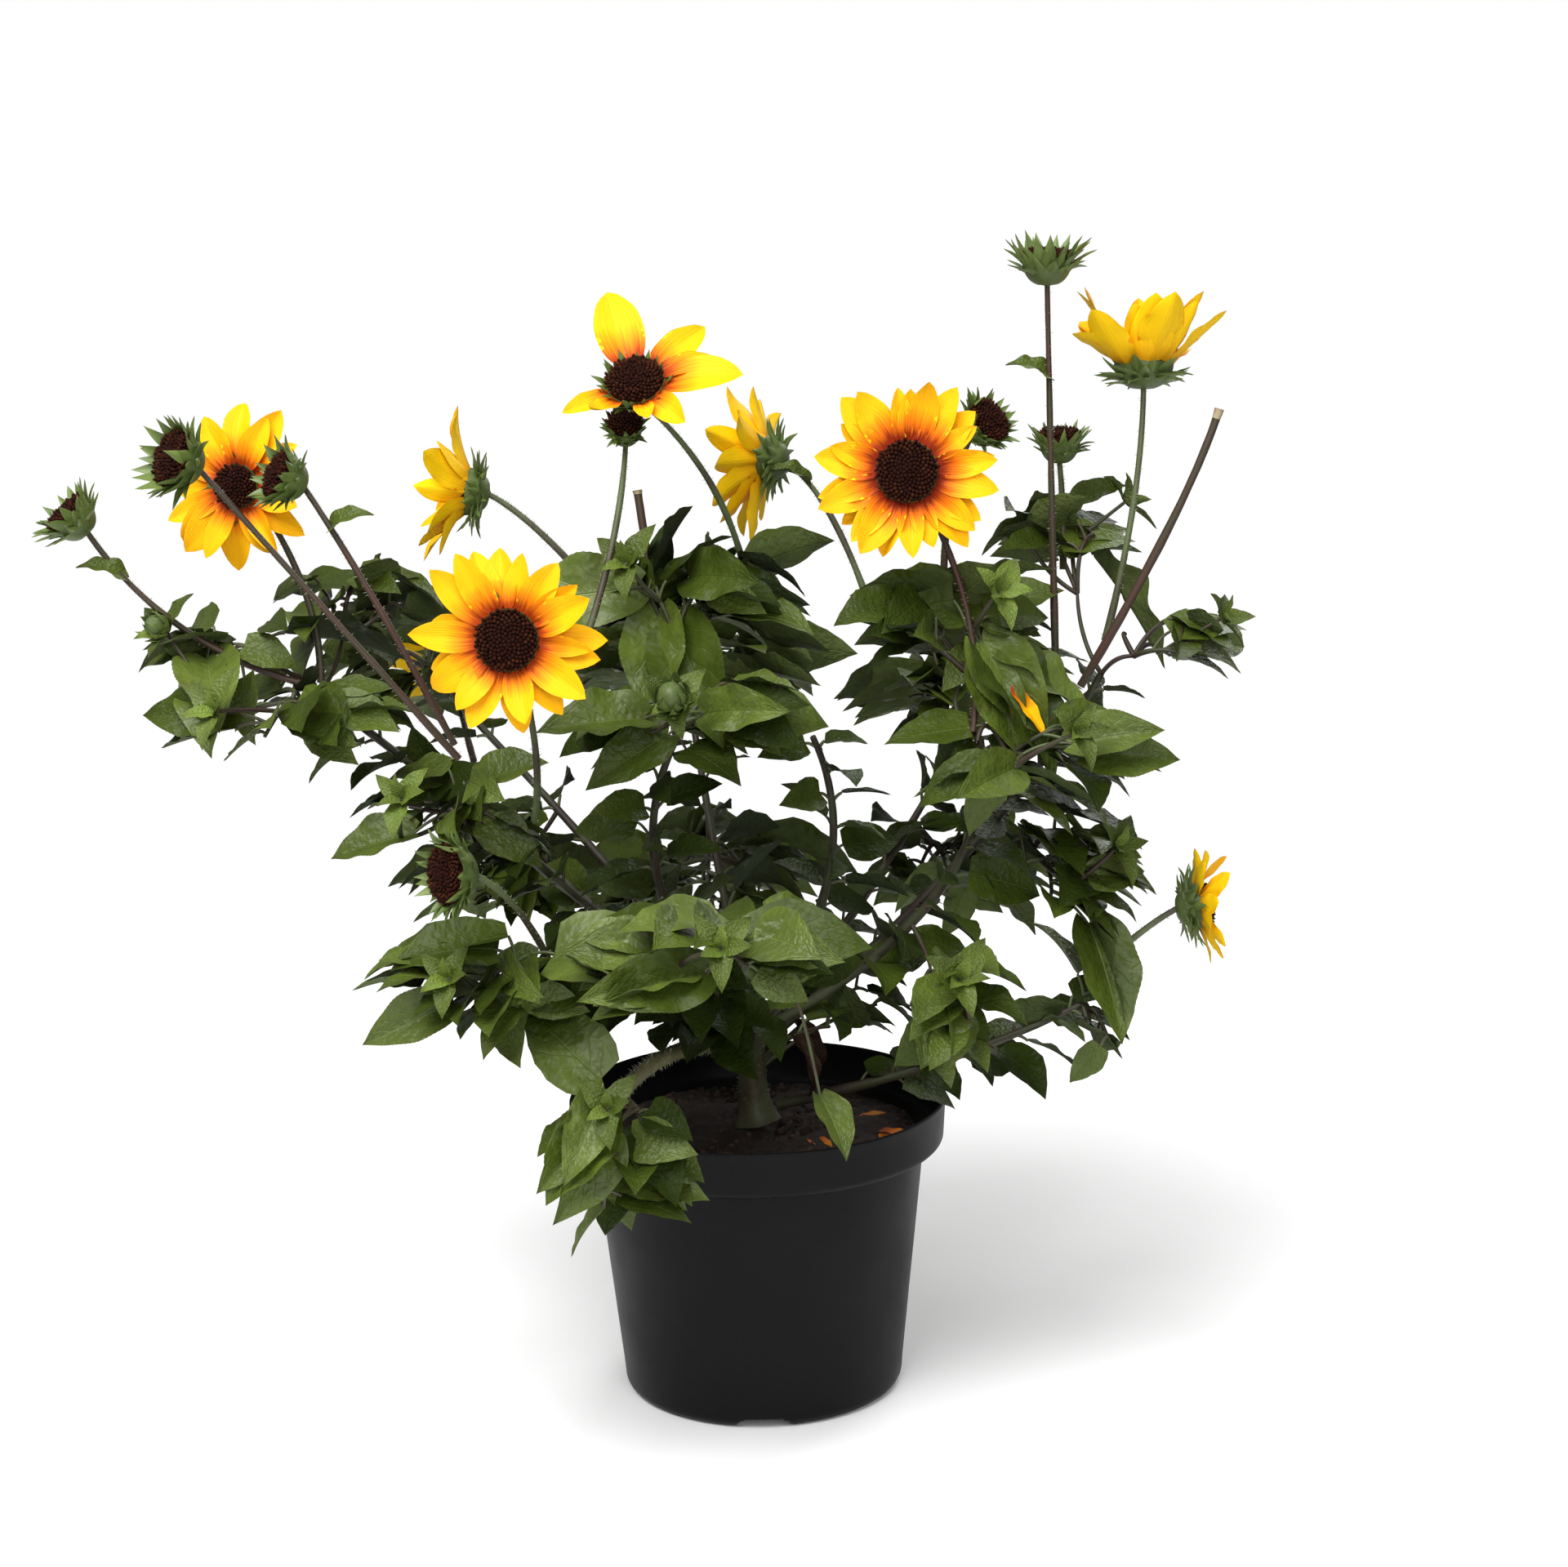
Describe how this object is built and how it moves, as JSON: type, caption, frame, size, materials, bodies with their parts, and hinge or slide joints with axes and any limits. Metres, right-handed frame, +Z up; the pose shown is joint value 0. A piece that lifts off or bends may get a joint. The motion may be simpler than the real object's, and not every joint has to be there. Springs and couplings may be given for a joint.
{
  "type": "potted sunflower plant",
  "caption": "Branching sunflower plant in a round black nursery pot, with open leafy boughs, yellow blooms with dark discs, and spent seed heads on slender stalks.",
  "frame": {"origin": "centre of the pot's flat underside", "axes": "+Z up the stem, -Y towards the plant's front, +X to its right as seen from the front"},
  "size_m": [0.6612, 0.4772, 0.656],
  "materials": {
    "pot": "satin",
    "soil": "matte",
    "stem": "matte",
    "bough": "matte",
    "leaf": "satin",
    "petal": "matte",
    "calyx": "matte",
    "stalk": "matte"
  },
  "bodies": {
    "root": {"pot": "pot", "soil": "soil", "main_stem": "stem", "bough_front_low": "bough", "bough_front": "bough", "bough_front_left": "bough", "bough_left": "bough", "bough_left_tip": "bough", "bough_centre_left": "bough", "bough_centre_right": "bough", "bough_right": "bough", "bough_right_tip": "bough", "bough_right_low": "bough", "bough_back_left": "bough", "bough_back": "bough", "bough_back_right": "bough", "foliage_left_tip": "leaf", "foliage_left_shelf": "leaf", "foliage_left_upper": "leaf", "foliage_left": "leaf", "foliage_front_left": "leaf", "foliage_front_low": "leaf", "foliage_front": "leaf", "foliage_front_drip": "leaf", "foliage_right_low": "leaf", "foliage_right_tip": "leaf", "foliage_right_side": "leaf", "foliage_right": "leaf", "foliage_right_crown": "leaf", "foliage_right_end": "leaf", "foliage_top_right": "leaf", "foliage_top": "leaf", "foliage_middle": "leaf", "foliage_back_left": "leaf", "foliage_back": "leaf", "foliage_back_right": "leaf", "foliage_back_low": "leaf", "foliage_left_low": "leaf", "foliage_right_back_low": "leaf", "bloom_front_left": "petal", "bloom_right": "petal", "bloom_far_left": "petal", "seedhead_left": "calyx", "seedhead_left_inner": "calyx", "seedhead_left_tip": "calyx", "bloom_left_back": "petal", "bloom_top": "petal", "seedhead_top": "calyx", "bloom_back": "petal", "seedhead_right": "calyx", "seedhead_top_right": "calyx", "seedhead_right_back": "calyx", "bloom_top_right": "petal", "bloom_low_right": "petal", "seedhead_low_left": "calyx", "bloom_behind_left": "petal", "bloom_behind_right": "petal", "seedhead_behind": "calyx", "bare_stalk": "stalk"}
  },
  "joints": []
}
